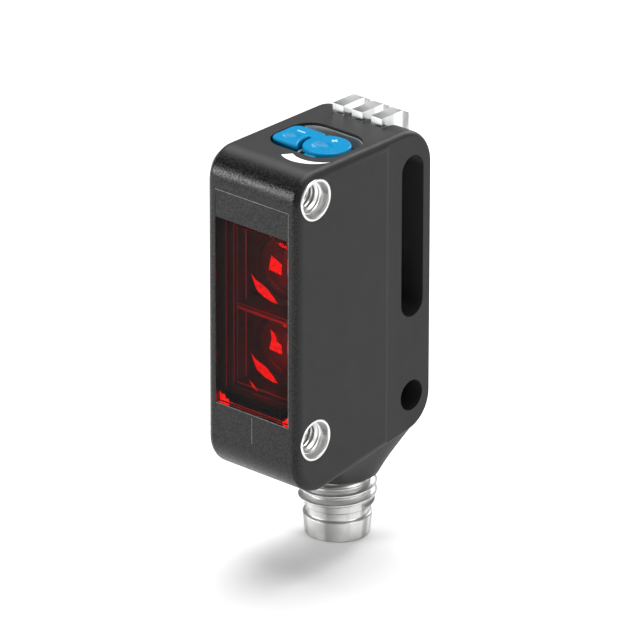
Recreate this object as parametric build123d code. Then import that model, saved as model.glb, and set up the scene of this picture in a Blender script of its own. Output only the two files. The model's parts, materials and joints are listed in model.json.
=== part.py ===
from build123d import *
import os
from math import radians, tan

# Miniature square photoelectric sensor, in millimetres.
# Origin: midway between the axes of the two threaded sleeves, half way across the width.
# +X: across the width. -Y: the optical front. +Z: up, towards the control key.

# ---------------------------------------------------------------- driving dimensions

# How far a cut runs past the face that it opens
past = 1.0

# Housing
width = 12.0
depth = 20.0
sleeve_pitch = 25.4
sleeve_to_top = 2.8
sleeve_to_heel = 6.4
heel_slope = 8.5
top_front_radius = 3.2
top_rear_radius = 4.0
heel_front_radius = 3.7
heel_rear_radius = 3.7
edge_radius = 0.9
side_wall = 1.1
floor_wall = 2.4
rear_step = 0.15
rear_step_run = 0.5
rear_width_from = 10.3

# Mounting features
sleeve_radius = 2.15
sleeve_front_wall = 0.55
sleeve_cup_radius = 1.85
sleeve_cup_depth = 0.9
thread_minor_radius = 1.25
sleeve_wall = 0.35
slot_width = 3.2
slot_length = 17.1
slot_to_rear = 3.0
slot_above_centre = 4.35
hole_radius = 1.6
front_of_slot_wall = 1.1

# Window and its frame
window_width = 9.5
window_height = 19.75
window_thickness = 1.0
window_corner = 0.3
window_bottom_to_sleeve = 1.8
mask_height = 2.9
mask_thickness = 0.7
seal_thickness = 0.2
frame_thickness = 0.8
frame_rim = 0.55

# Optics
lens_radius = 3.35
lens_pitch = 8.5
lens_edge = 0.6
lens_dome = 0.9
lens_to_front = 4.0
carrier_wall = 0.5
carrier_depth = 6.0
carrier_margin = 0.7
throat_radius = 1.3
optics_fit = 0.05

# Boards and chips
board_thickness = 0.8
board_margin = 0.4
chip_height = 0.8
chip_chamfer = 0.1
led_size = 1.6
led_dome = 0.64
sensor_size = 2.2
controller_size = 4.0
driver_width = 3.0
driver_length = 2.5
driver_drop = 2.0
capacitor_width = 0.9
capacitor_length = 2.0
capacitor_pitch = 2.25
capacitor_count = 4
header_width = 4.5

# Control key, its pocket and what is under it
pocket_left = 3.8
pocket_right = 4.65
pocket_length = 7.05
pocket_corner = 2.4
pocket_to_boss = 0.25
pocket_depth = 1.9
pocket_ledge = 0.6
pocket_left_ledge = 0.2
ledge_thickness = 0.5
key_proud = 0.17
key_height = 1.35
plus_x = 2.2
plus_to_pocket_front = 3.05
plus_radius = 2.4
minus_left = 3.5
minus_to_pocket_front = 0.9
minus_length = 4.2
minus_right = 0.85
minus_corner = 1.0
key_slit = 0.42
key_slit_length = 2.6
key_round = 0.21
neck_overlap = 0.4
nib_width = 1.3
nib_length = 0.35
nib_drop = 0.35
rocker_x = 0.2
rocker_depth = 0.75
hub_radius = 0.68
pin_radius = 0.3
pin_clearance = 0.04
pin_seat = 0.5
post_gap = 0.15
post_thickness = 0.6
post_width = 1.8
seal_sheet = 0.3
seal_gap = 0.1
pusher_radius = 0.7
pusher_gap = 0.25
switch_x = 2.3
switch_width = 2.6
switch_length = 1.8
switch_body = 0.55
plunger_radius = 0.45
switch_gap = 0.05
mark_outer_radius = 3.3
mark_inner_radius = 3.14
mark_x = 2.06
mark_to_pocket_front = 1.28
mark_shift_x = 0.61
mark_shift_y = 0.78
mark_end_left = 1.7
mark_end_down = 2.82
mark_end_turn = 55
mark_thickness = 0.03

# Indicator light guides
guide_pitch = 2.5
guide_width = 1.4
guide_from_rear = 4.6
guide_length = 4.0
guide_height = 1.0
guide_slope_run = 1.0
guide_slope_drop = 0.5
stem_width = 1.0
stem_depth = 1.0
stem_fit = 0.03
indicator_led = 0.9
indicator_led_height = 0.45

# Connector
plug_from_rear = 7.35
foot_bottom = 8.1
foot_radius = 4.2
foot_inset = 0.55
foot_front = 5.5
foot_rear = 6.7
foot_corner = 1.1
foot_sink = 0.5
foot_root = 1.4
thread_radius = 3.95
thread_length = 3.8
groove_radius = 3.15
groove_length = 0.8
collar_radius = 3.5
collar_end_radius = 3.3
collar_length = 2.2
plug_root_radius = 3.45
plug_root_length = 3.4
plug_bore_radius = 2.75
insert_length = 4.2
insert_recess = 0.4
rib_width = 0.9
rib_depth = 0.63
rib_height = 1.0
contact_spacing = 2.03
contact_radius = 0.45
contact_tip_round = 0.27
contact_tip_above_end = 0.9
contact_tail = 0.6
plug_seal_thickness = 0.4
plug_seal_width = 0.5
plug_board_thickness = 0.6
plug_board_gap = 0.2
link_radius = 0.15
link_pitch = 1.0
link_count = 4
link_bend = 0.8
link_from_edge = 0.9
link_reach = 1.3

# ---------------------------------------------------------------- levels worked out once

front_y = -(sleeve_radius + sleeve_front_wall)
rear_y = front_y + depth
half_width = width / 2
rear_half_width = half_width - rear_step
upper_z = sleeve_pitch / 2
lower_z = -upper_z
top_z = upper_z + sleeve_to_top
heel_front_z = lower_z - sleeve_to_heel
heel_rear_z = heel_front_z + depth * tan(radians(heel_slope))
boss_radius = sleeve_radius + sleeve_wall

slot_y = rear_y - slot_to_rear
slot_front_y = slot_y - slot_width / 2
inner_half_width = half_width - side_wall
inner_rear_y = slot_front_y - front_of_slot_wall
inner_front_y = boss_radius + sleeve_wall
inner_top_z = top_z - pocket_depth - ledge_thickness
inner_floor_z = heel_front_z + floor_wall + inner_front_y * tan(radians(heel_slope))

window_half_width = window_width / 2
window_bottom_z = lower_z + window_bottom_to_sleeve
window_top_z = window_bottom_z + window_height
mask_top_z = window_top_z + mask_height
window_back_y = front_y + window_thickness
seal_back_y = window_back_y + seal_thickness
frame_back_y = seal_back_y + frame_thickness
frame_bottom_z = lower_z + boss_radius
frame_top_z = window_top_z + frame_rim
opening_half_width = window_half_width - frame_rim
opening_bottom_z = frame_bottom_z + frame_rim
opening_top_z = window_top_z - frame_rim

optics_z = (window_bottom_z + window_top_z) / 2
lens_heights = [optics_z + lens_pitch / 2, optics_z - lens_pitch / 2]
carrier_front_y = frame_back_y
carrier_back_y = carrier_front_y + carrier_depth
carrier_half_width = inner_half_width
carrier_bottom_z = frame_bottom_z
carrier_top_z = frame_top_z
lens_front_y = front_y + lens_to_front
lens_seat_y = lens_front_y + lens_dome
lens_back_y = lens_seat_y + lens_edge

board_front_y = carrier_back_y
board_back_y = board_front_y + board_thickness
board_half_width = inner_half_width - board_margin
board_top_z = carrier_top_z
board_bottom_z = inner_floor_z + board_margin

pocket_front = boss_radius + pocket_to_boss
pocket_y = pocket_front + pocket_length / 2
pocket_rear = pocket_front + pocket_length
pocket_floor_z = top_z - pocket_depth
plus_y = pocket_front + plus_to_pocket_front
minus_front = pocket_front + minus_to_pocket_front
mark_y = pocket_front + mark_to_pocket_front
key_top_z = top_z + key_proud
key_bottom_z = key_top_z - key_height
rocker_z = top_z - rocker_depth
seal_top_z = pocket_floor_z + seal_sheet
pusher_bottom_z = seal_top_z + pusher_gap
key_board_top_z = inner_top_z - switch_body
key_board_bottom_z = key_board_top_z - board_thickness

guide_front_y = rear_y - guide_from_rear
guide_rear_y = guide_front_y + guide_length
guide_top_z = top_z + guide_height
guide_places = [-guide_pitch, 0, guide_pitch]
stem_front_y = pocket_rear + sleeve_wall
stem_top_z = inner_top_z + ledge_thickness + stem_depth
stem_rear_y = guide_front_y + stem_depth

plug_y = rear_y - plug_from_rear
foot_z = lower_z - foot_bottom
groove_z = foot_z - thread_length
collar_z = groove_z - groove_length
plug_end_z = collar_z - collar_length
plug_root_z = foot_z + plug_root_length
insert_bottom_z = plug_root_z - insert_recess - insert_length
insert_top_z = plug_root_z - insert_recess
plug_board_z = plug_root_z + plug_board_gap
contact_top_z = plug_board_z + plug_board_thickness + contact_tail


# ---------------------------------------------------------------- small helpers

def block(x, y, z):
    """A box given by its limits along X, Y and Z."""
    limits = (x, y, z)
    centre = [(low + high) / 2 for low, high in limits]
    size = [high - low for low, high in limits]
    return Pos(*centre) * Box(*size)


def rod(centre, radius, length, along):
    """A cylinder centred on a point, along X, Y or Z."""
    turns = {"X": Rot(0, 90, 0), "Y": Rot(90, 0, 0), "Z": Rot(0, 0, 0)}
    return Pos(*centre) * turns[along] * Cylinder(radius, length)


def turned(profile, centre):
    """A solid of revolution about a vertical axis, from (radius, height) corners."""
    section = make_face(Plane.XZ * Polyline(*profile, close=True))
    return Pos(*centre) * revolve(section, Axis.Z)


def plate(half_x, z, y, corner):
    """An upright plate with rounded corners, given by its limits."""
    height = z[1] - z[0]
    sketch = RectangleRounded(2 * half_x, height, corner)
    face = Plane.XZ.offset(-y[1]) * Pos(0, (z[0] + z[1]) / 2) * sketch
    return extrude(face, amount=y[1] - y[0])


def in_a_row(count, pitch):
    """Places at an even pitch, centred across the width."""
    return [(n - (count - 1) / 2) * pitch for n in range(count)]


def save(name, shape):
    """Write one sub-part."""
    export_step(shape, f"parts/{name}.step")


# ---------------------------------------------------------------- housing

def housing_skin():
    """The outer form: a rounded side outline, the full width across, with soft edges."""
    corners = [
        (front_y, heel_front_z),
        (rear_y, heel_rear_z),
        (rear_y, top_z),
        (front_y, top_z),
    ]
    radii = [heel_front_radius, heel_rear_radius, top_rear_radius, top_front_radius]
    face = make_face(Plane.YZ * Polygon(*corners, align=None).wire())
    for corner, radius in zip(corners, radii):
        vertex = face.vertices().sort_by_distance((0, *corner))[0]
        face = fillet(vertex, radius)
    body = extrude(face, amount=half_width, both=True)
    body = fillet(body.faces().filter_by(Axis.X).edges(), edge_radius)
    return body - rear_relief()


def rear_relief():
    """What makes the rear part a little narrower, past a soft step."""
    step = [
        (rear_half_width, rear_width_from + rear_step_run),
        (half_width, rear_width_from),
        (half_width + past, rear_width_from),
        (half_width + past, rear_y + past),
        (rear_half_width, rear_y + past),
    ]
    outline = Pos(0, 0, heel_front_z) * make_face(Polyline(*step, close=True))
    prism = extrude(outline, amount=top_z - heel_front_z)
    return prism + mirror(prism, Plane.YZ)


def foot():
    """The skirt under the heel, from the heel's footprint to the round plug."""
    rise = tan(radians(heel_slope))
    top_y = plug_y + (foot_rear - foot_front) / 2
    top_level = heel_front_z + (top_y - front_y) * rise + foot_sink
    slant = Plane((0, top_y, top_level), x_dir=(1, 0, 0), z_dir=(0, -rise, 1))
    top = slant * RectangleRounded(2 * (half_width - foot_inset), foot_front + foot_rear, foot_corner)
    bottom = Pos(0, plug_y, foot_z) * Circle(foot_radius)
    root = extrude(top, amount=foot_root, dir=(0, 0, 1))
    return loft([top, bottom]) + root


def sleeve_bosses(radius):
    """The stock round the two sleeves, or the bores for them."""
    upper = rod((0, 0, upper_z), radius, width + 2 * past, "X")
    lower = rod((0, 0, lower_z), radius, width + 2 * past, "X")
    return upper + lower


def cavity():
    """The room for the optics and the boards, open at the front."""
    across = (-inner_half_width, inner_half_width)
    middle_height = (carrier_bottom_z - carrier_margin, carrier_top_z + carrier_margin)
    middle = block(across, (frame_back_y, inner_rear_y), middle_height)
    back = block(across, (inner_front_y, inner_rear_y), (inner_floor_z, inner_top_z))
    opening = (-window_half_width, window_half_width)
    optics = block(opening, (window_back_y, inner_front_y), (frame_bottom_z, frame_top_z))
    window = block(opening, (front_y - past, window_back_y), (window_bottom_z, frame_top_z))
    mask = block(opening, (front_y - past, front_y + mask_thickness), (window_top_z, mask_top_z))
    return optics + middle + back - sleeve_bosses(boss_radius) + window + mask


def slot():
    """The long mounting slot."""
    top = slot_above_centre + (slot_length - slot_width) / 2
    bottom = slot_above_centre - (slot_length - slot_width) / 2
    through = (-half_width - past, half_width + past)
    shape = block(through, (slot_front_y, slot_y + slot_width / 2), (bottom, top))
    for z in (bottom, top):
        shape += rod((0, slot_y, z), slot_width / 2, width + 2 * past, "X")
    return shape


def rear_hole():
    """The round hole under the slot."""
    return rod((0, slot_y, lower_z), hole_radius, width + 2 * past, "X")


def pocket_outline(level, left_inset=0, inset=0):
    """The pocket's rounded outline at one height, closer to the key on its left side."""
    left = pocket_left - left_inset
    right = pocket_right - inset
    outline = RectangleRounded(left + right, pocket_length - 2 * inset, pocket_corner - inset)
    return Pos((right - left) / 2, pocket_y, level) * outline


def pocket():
    """The control key's pocket, with a ledge that the sealing sheet lies on."""
    shape = extrude(pocket_outline(pocket_floor_z), amount=pocket_depth + past)
    opening = pocket_outline(inner_top_z - past, pocket_left_ledge, pocket_ledge)
    return shape + extrude(opening, amount=ledge_thickness + past)


def guide_tunnels(gap):
    """The bent passages of the light guides, or with a negative gap the stems in them."""
    tunnels = []
    for x in guide_places:
        side = (x - stem_width / 2 - gap, x + stem_width / 2 + gap)
        floor = inner_top_z + ledge_thickness - gap
        run = block(side, (stem_front_y - gap, stem_rear_y + gap), (floor, stem_top_z + gap))
        rise = block(side, (guide_front_y - gap, stem_rear_y + gap), (floor, top_z + guide_height / 2))
        tunnels.append(run + rise)
    return tunnels


def pin_bores(radius):
    """The line of the key's pin: a seat in the front wall, and the post behind the key."""
    start = pocket_front - pin_seat
    end = post_back_y()
    return rod((rocker_x, (start + end) / 2, rocker_z), radius, end - start, "Y")


def post_front_y():
    return minus_front + minus_length + post_gap


def post_back_y():
    return post_front_y() + post_thickness


def pin_post():
    """A post that stands on the pocket's ledge behind the key and holds the pin."""
    side = (rocker_x - post_width / 2, rocker_x + post_width / 2)
    top = rocker_z + pin_radius + sleeve_wall
    leg = block(side, (post_front_y(), post_back_y()), (inner_top_z, top))
    tie = block(side, (post_front_y(), pocket_rear), (inner_top_z, pocket_floor_z))
    return leg + tie


def housing():
    body = housing_skin() + foot()
    body -= cavity()
    body -= sleeve_bosses(sleeve_radius)
    body -= slot()
    body -= rear_hole()
    body -= pocket()
    body += pin_post()
    body -= pin_bores(pin_radius)
    for tunnel in guide_tunnels(0):
        body -= tunnel
    led_room = block(
        (-guide_pitch - stem_width / 2, guide_pitch + stem_width / 2),
        (stem_front_y, stem_front_y + stem_depth),
        (key_board_top_z, inner_top_z + ledge_thickness),
    )
    body -= led_room
    body -= rod((0, plug_y, (foot_z + inner_floor_z) / 2), plug_root_radius, inner_floor_z - foot_z, "Z")
    return body


# ---------------------------------------------------------------- mounting sleeves

def sleeve(z):
    """A metal sleeve through the width, with a bowl at each mouth and a threaded bore."""
    half = half_width
    profile = [
        (thread_minor_radius, -half + sleeve_cup_depth),
        (sleeve_cup_radius, -half),
        (sleeve_radius, -half),
        (sleeve_radius, half),
        (sleeve_cup_radius, half),
        (thread_minor_radius, half - sleeve_cup_depth),
    ]
    return Pos(0, 0, z) * Rot(0, 90, 0) * turned(profile, (0, 0, 0))


# ---------------------------------------------------------------- window

def front_window():
    """The window, flush in the front."""
    face = (front_y, window_back_y)
    return plate(window_half_width, (window_bottom_z, window_top_z), face, window_corner)


def window_opening(y):
    side = (-opening_half_width, opening_half_width)
    return block(side, y, (opening_bottom_z, opening_top_z))


def window_seal():
    """A flat ring between the window and its frame."""
    side = (-window_half_width, window_half_width)
    ring = block(side, (window_back_y, seal_back_y), (frame_bottom_z, window_top_z))
    return ring - window_opening((window_back_y - past, seal_back_y + past))


def window_frame():
    """The frame behind the window, with the plain strip over the window."""
    side = (-window_half_width, window_half_width)
    ring = block(side, (seal_back_y, frame_back_y), (frame_bottom_z, frame_top_z))
    strip = block(side, (front_y, front_y + mask_thickness), (window_top_z, mask_top_z))
    tie = block(side, (front_y, frame_back_y), (window_top_z, frame_top_z))
    return ring + strip + tie - window_opening((window_back_y, frame_back_y + past))


# ---------------------------------------------------------------- optics

def lens(z):
    """A plano-convex lens with a flat rim, its dome to the front."""
    crown = lens_edge + lens_dome
    sphere_radius = (lens_radius ** 2 + lens_dome ** 2) / (2 * lens_dome)
    dome = RadiusArc((0, crown), (lens_radius, lens_edge), sphere_radius)
    rim = Polyline((lens_radius, lens_edge), (lens_radius, 0), (0, 0), (0, crown))
    section = make_face(Plane.XZ * (dome + rim))
    return Pos(0, lens_back_y, z) * Rot(90, 0, 0) * revolve(section, Axis.Z)


def optics_carrier():
    """The block that holds both lenses, with a stepped bay and a dark throat behind each."""
    side = (-carrier_half_width, carrier_half_width)
    body = block(side, (carrier_front_y, carrier_back_y), (carrier_bottom_z, carrier_top_z))
    side = (carrier_wall - carrier_half_width, carrier_half_width - carrier_wall)
    bay_depth = (carrier_front_y - past, carrier_front_y + carrier_wall)
    body -= block(side, bay_depth, (carrier_bottom_z + carrier_wall, carrier_top_z - carrier_wall))
    for z in lens_heights:
        half_bay = (lens_pitch - carrier_wall) / 2
        side = (2 * carrier_wall - carrier_half_width, carrier_half_width - 2 * carrier_wall)
        body -= block(side, (carrier_front_y, lens_seat_y), (z - half_bay, z + half_bay))
        seat_mid = (lens_seat_y + lens_back_y) / 2
        body -= rod((0, seat_mid, z), lens_radius + optics_fit, lens_edge, "Y")
        throat = Pos(0, (lens_back_y + carrier_back_y) / 2, z) * Rot(90, 0, 0)
        throat *= Cone(throat_radius, lens_radius - carrier_wall, carrier_back_y - lens_back_y)
        body -= throat
    return body


def emitter_led():
    """A small chip with a domed cap, in the upper throat."""
    z = lens_heights[0]
    half = led_size / 2
    base = block((-half, half), (board_front_y - chip_height, board_front_y), (z - half, z + half))
    dome = Pos(0, board_front_y - chip_height, z) * Sphere(led_dome)
    return base + dome


def receiver_sensor():
    """A flat light sensor, in the lower throat."""
    z = lens_heights[1]
    half = sensor_size / 2
    base = rod((0, board_front_y - chip_height / 2, z), throat_radius - optics_fit, chip_height, "Y")
    return base & block((-half, half), (board_front_y - chip_height, board_front_y), (z - half, z + half))


# ---------------------------------------------------------------- boards

def main_board():
    """The upright board behind the optics."""
    side = (-board_half_width, board_half_width)
    return block(side, (board_front_y, board_back_y), (board_bottom_z, board_top_z))


def chip(x, z, long_x, long_z):
    """A square chip on the back of the main board."""
    side = (x - long_x / 2, x + long_x / 2)
    body = block(side, (board_back_y, board_back_y + chip_height), (z - long_z / 2, z + long_z / 2))
    return chamfer(body.faces().sort_by(Axis.Y)[-1].edges(), chip_chamfer)


def capacitors():
    """Small parts in a row across the back of the main board."""
    row = in_a_row(capacitor_count, capacitor_pitch)
    return [chip(x, optics_z - lens_pitch / 4, capacitor_width, capacitor_length) for x in row]


def key_board():
    """The level board under the key and the light guides."""
    side = (-board_half_width, board_half_width)
    length = (inner_front_y + board_margin, inner_rear_y - board_margin)
    return block(side, length, (key_board_bottom_z, key_board_top_z))


def board_header():
    """The block of contacts between the main board and the key board."""
    side = (-header_width / 2, header_width / 2)
    length = (board_back_y, board_back_y + chip_height)
    return block(side, length, (board_top_z - chip_height, key_board_bottom_z))


def tact_switch(x):
    """A low square switch with a round plunger."""
    side = (x - switch_width / 2, x + switch_width / 2)
    length = (plus_y - switch_length / 2, plus_y + switch_length / 2)
    body = block(side, length, (key_board_top_z, inner_top_z))
    height = pocket_floor_z - switch_gap - inner_top_z
    return body + rod((x, plus_y, inner_top_z + height / 2), plunger_radius, height, "Z")


def indicator_leds():
    """One chip under the mouth of each light guide."""
    half = indicator_led / 2
    y = stem_front_y + stem_depth / 2
    top = key_board_top_z + indicator_led_height
    return [block((x - half, x + half), (y - half, y + half), (key_board_top_z, top)) for x in guide_places]


# ---------------------------------------------------------------- control key

def key_seal():
    """A soft sheet on the pocket's floor, cut round the pin's post."""
    sheet = extrude(pocket_outline(pocket_floor_z), amount=seal_sheet)
    reach = post_width / 2 + seal_gap
    side = (rocker_x - reach, rocker_x + reach)
    length = (post_front_y() - seal_gap, pocket_rear + past)
    return sheet - block(side, length, (pocket_floor_z - past, top_z))


def key_slit_cut():
    """The curved slit between the two lobes, open at the front."""
    ring = Circle(plus_radius + key_slit) - Circle(plus_radius)
    reach = key_slit_length + past
    window = Pos(-plus_radius, minus_front - plus_y + key_slit_length - reach / 2)
    window *= Rectangle(2 * plus_radius, reach)
    cut = Pos(plus_x, plus_y, key_bottom_z - past) * (ring & window)
    return extrude(cut, amount=key_height + 2 * past)


def rocker_key():
    """One key with a minus lobe and a plus lobe, a hub for its pin, and two pushers."""
    minus_x = (minus_right - minus_left) / 2
    minus_y = minus_front + minus_length / 2
    minus_lobe = RectangleRounded(minus_left + minus_right, minus_length, minus_corner)
    neck = Pos((minus_right + plus_x) / 2, minus_y + key_slit_length / 2)
    neck *= Rectangle(plus_x - minus_right + neck_overlap, minus_length - key_slit_length)
    outline = Pos(minus_x, minus_y) * minus_lobe + neck + Pos(plus_x, plus_y) * Circle(plus_radius)
    body = extrude(Pos(0, 0, key_bottom_z) * outline, amount=key_height)
    body -= key_slit_cut()
    body = soften_top(body)
    nib_front = plus_y - plus_radius - nib_length
    side = (plus_x - nib_width / 2, plus_x + nib_width / 2)
    body += block(side, (nib_front, plus_y), (key_bottom_z, key_top_z - nib_drop))
    hub_centre = (rocker_x, minus_y, rocker_z)
    body += rod(hub_centre, hub_radius, minus_length, "Y") & hub_room()
    body -= rod(hub_centre, pin_radius + pin_clearance, minus_length + 2 * past, "Y")
    for x in (rocker_x - switch_x, rocker_x + switch_x):
        length = key_bottom_z - pusher_bottom_z
        body += rod((x, plus_y, pusher_bottom_z + length / 2), pusher_radius, length, "Z")
    return body


def soften_top(body):
    """Round the key's top edges."""
    top = body.faces().sort_by(Axis.Z)[-1]
    return fillet(top.outer_wire().edges(), key_round)


def hub_room():
    """Where the hub may be: under the key's top, behind the slit's front end."""
    side = (rocker_x - hub_radius, rocker_x + hub_radius)
    length = (minus_front + key_slit_length, minus_front + minus_length)
    return block(side, length, (rocker_z - hub_radius, key_top_z - nib_drop))


def scale_mark():
    """A thin curved mark in front of the key, tapering to one end."""
    disc = Pos(mark_x, mark_y) * Circle(mark_outer_radius)
    inside = Pos(mark_x + mark_shift_x, mark_y + mark_shift_y) * Circle(mark_inner_radius)
    size = 2 * mark_outer_radius
    limit = Pos(mark_x - mark_end_left, mark_y - mark_end_down) * Rot(0, 0, mark_end_turn)
    limit *= Pos(size / 2 - past, -size / 2) * Rectangle(size, size)
    return extrude(Pos(0, 0, top_z) * ((disc - inside) & limit), amount=mark_thickness)


# ---------------------------------------------------------------- light guides

def light_guides():
    """Three clear bars over the rear top corner, each with a bent stem into the housing."""
    skin = housing_skin()
    guides = []
    outline = [
        (guide_front_y, stem_top_z - stem_depth),
        (guide_front_y, guide_top_z),
        (guide_rear_y - guide_slope_run, guide_top_z),
        (guide_rear_y, guide_top_z - guide_slope_drop),
        (guide_rear_y, stem_top_z - stem_depth),
    ]
    side = make_face(Plane.YZ * Polyline(*outline, close=True))
    bar = extrude(side, amount=guide_width / 2, both=True) - skin
    for x, stem in zip(guide_places, guide_tunnels(-stem_fit)):
        guides.append(Pos(x, 0, 0) * bar + stem)
    return guides


# ---------------------------------------------------------------- connector

def connector_shell():
    """The threaded metal plug: root, thread at its full diameter, groove and tapered collar."""
    profile = [
        (plug_bore_radius, plug_end_z),
        (collar_end_radius, plug_end_z),
        (collar_radius, collar_z),
        (groove_radius, collar_z),
        (groove_radius, groove_z),
        (thread_radius, groove_z),
        (thread_radius, foot_z),
        (plug_root_radius, foot_z),
        (plug_root_radius, plug_root_z),
        (plug_bore_radius, plug_root_z),
    ]
    return turned(profile, (0, plug_y, 0))


def contact_places():
    """Where the four contacts stand round the plug's axis."""
    spots = GridLocations(contact_spacing, contact_spacing, 2, 2)
    return [(p.position.X, p.position.Y + plug_y) for p in spots]


def contact(place):
    """A round contact with a domed tip, from below the insert to the plug's board."""
    x, y = place
    tip_z = plug_end_z + contact_tip_above_end
    length = contact_top_z - tip_z
    body = rod((x, y, tip_z + length / 2), contact_radius, length, "Z")
    return fillet(body.edges().sort_by(Axis.Z)[0], contact_tip_round)


def connector_insert():
    """The insulator that holds the contacts."""
    length = insert_top_z - insert_bottom_z
    body = rod((0, plug_y, insert_bottom_z + length / 2), plug_bore_radius, length, "Z")
    body -= connector_seal()
    for x, y in contact_places():
        body -= rod((x, y, insert_bottom_z + length / 2), contact_radius, length, "Z")
    rib_y = plug_y + plug_bore_radius
    height = (insert_bottom_z - rib_height, insert_bottom_z)
    rib = block((-rib_width / 2, rib_width / 2), (rib_y - rib_depth, rib_y), height)
    return body + (rib & rod((0, plug_y, insert_bottom_z), plug_bore_radius, 2 * rib_height, "Z"))


def connector_seal():
    """A ring round the insert, against the inside of the plug."""
    middle = (insert_top_z + insert_bottom_z) / 2
    low = middle - plug_seal_thickness / 2
    high = middle + plug_seal_thickness / 2
    inner = plug_bore_radius - plug_seal_width
    profile = [(inner, low), (plug_bore_radius, low), (plug_bore_radius, high), (inner, high)]
    return turned(profile, (0, plug_y, 0))


def connector_board():
    """A round board on the ends of the contacts."""
    middle = plug_board_z + plug_board_thickness / 2
    body = rod((0, plug_y, middle), plug_root_radius - optics_fit, plug_board_thickness, "Z")
    for x, y in contact_places():
        body -= rod((x, y, middle), contact_radius, plug_board_thickness, "Z")
    return body


def link_wires():
    """Bare wires from the plug's board up and forward to the back of the main board."""
    wires = []
    start_z = plug_board_z + plug_board_thickness
    turn_z = start_z + link_bend
    start_y = max(plug_y - plug_root_radius + link_from_edge, board_back_y + link_reach)
    for x in in_a_row(link_count, link_pitch):
        rise = rod((x, start_y, (start_z + turn_z) / 2), link_radius, turn_z - start_z, "Z")
        run_length = start_y - board_back_y
        run = rod((x, board_back_y + run_length / 2, turn_z), link_radius, run_length, "Y")
        knee = Pos(x, start_y, turn_z) * Sphere(link_radius)
        wires.append(rise + run + knee)
    return wires


# ---------------------------------------------------------------- write every sub-part

os.makedirs("parts", exist_ok=True)

save("housing", housing())
save("sleeve_upper", sleeve(upper_z))
save("sleeve_lower", sleeve(lower_z))
save("front_window", front_window())
save("window_seal", window_seal())
save("window_frame", window_frame())
save("optics_carrier", optics_carrier())
save("emitter_lens", lens(lens_heights[0]))
save("receiver_lens", lens(lens_heights[1]))
save("emitter_led", emitter_led())
save("receiver_sensor", receiver_sensor())
save("main_board", main_board())
save("controller_chip", chip(0, lens_heights[0], controller_size, controller_size))
save("driver_chip", chip(0, lens_heights[1] - driver_drop, driver_width, driver_length))
save("capacitors", Compound(capacitors()))
save("key_board", key_board())
save("board_header", board_header())
save("minus_switch", tact_switch(rocker_x - switch_x))
save("plus_switch", tact_switch(rocker_x + switch_x))
save("indicator_leds", Compound(indicator_leds()))
save("key_seal", key_seal())
save("rocker_key", rocker_key())
save("rocker_pin", pin_bores(pin_radius))
save("scale_mark", scale_mark())
for name, guide in zip(("left", "middle", "right"), light_guides()):
    save(f"light_guide_{name}", guide)
save("connector_shell", connector_shell())
save("connector_insert", connector_insert())
save("connector_seal", connector_seal())
save("connector_board", connector_board())
for number, place in enumerate(contact_places(), start=1):
    save(f"contact_pin_{number}", contact(place))
save("link_wires", Compound(link_wires()))
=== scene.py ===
# %% [markdown]
# # A miniature photoelectric sensor
#
# The sensor is a matte black moulded block, a little larger than the end of a thumb. It looks out
# through a dark red window, carries two threaded metal sleeves, a blue rocking key and three clear
# indicator bars, and stands on a round threaded plug. The engineering model is already packed, with
# every piece in its place. This lesson loads it as a fixed frame, makes finer pieces where the
# surface matters, and gives each piece its finish.

import json
import math

import bpy
from mathutils import Matrix, Vector

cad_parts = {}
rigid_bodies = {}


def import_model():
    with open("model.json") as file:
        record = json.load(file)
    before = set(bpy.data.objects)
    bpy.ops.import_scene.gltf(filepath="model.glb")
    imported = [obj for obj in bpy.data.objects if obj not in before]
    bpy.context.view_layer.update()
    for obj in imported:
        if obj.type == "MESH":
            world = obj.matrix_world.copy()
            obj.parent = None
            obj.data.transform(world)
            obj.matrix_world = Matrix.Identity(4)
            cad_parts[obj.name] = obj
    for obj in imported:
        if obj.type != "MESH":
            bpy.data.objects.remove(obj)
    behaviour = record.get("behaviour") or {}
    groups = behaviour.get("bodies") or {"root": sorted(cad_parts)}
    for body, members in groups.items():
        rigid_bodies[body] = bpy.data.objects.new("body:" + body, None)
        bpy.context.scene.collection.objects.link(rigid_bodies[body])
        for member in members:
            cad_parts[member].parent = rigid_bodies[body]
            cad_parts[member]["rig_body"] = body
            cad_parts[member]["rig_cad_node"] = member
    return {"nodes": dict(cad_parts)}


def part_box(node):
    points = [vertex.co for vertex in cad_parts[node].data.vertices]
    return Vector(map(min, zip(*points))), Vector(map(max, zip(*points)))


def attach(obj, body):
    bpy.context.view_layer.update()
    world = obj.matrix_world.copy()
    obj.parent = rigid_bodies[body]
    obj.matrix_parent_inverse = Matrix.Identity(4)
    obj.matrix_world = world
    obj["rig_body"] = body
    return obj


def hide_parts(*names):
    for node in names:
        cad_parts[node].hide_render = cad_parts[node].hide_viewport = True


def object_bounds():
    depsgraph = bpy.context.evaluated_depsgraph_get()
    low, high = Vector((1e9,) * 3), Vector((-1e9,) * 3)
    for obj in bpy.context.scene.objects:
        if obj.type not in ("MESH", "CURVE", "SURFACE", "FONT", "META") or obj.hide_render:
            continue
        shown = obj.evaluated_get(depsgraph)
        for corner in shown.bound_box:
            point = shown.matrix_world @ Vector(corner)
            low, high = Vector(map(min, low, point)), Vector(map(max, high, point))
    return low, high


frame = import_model()
cad_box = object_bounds()
nodes = frame["nodes"]
print("pieces in the frame:", len(nodes))
print("size in mm:", [round(1000 * (high - low), 2) for low, high in zip(*cad_box)])

# %% [markdown]
# ## Places and sizes
#
# Blender works in metres and the sensor is drawn in millimetres, so one name turns one into the
# other. The faces that the new pieces line up with are read from the frame, so that the pieces follow
# the engineering model.

# %% Places read from the frame
MM = 0.001
BODY = "sensor_body"
KEY = "rocker"


def places(node):
    """The lowest and highest corner of a node, in millimetres."""
    low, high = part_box(node)
    return low / MM, high / MM


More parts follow.
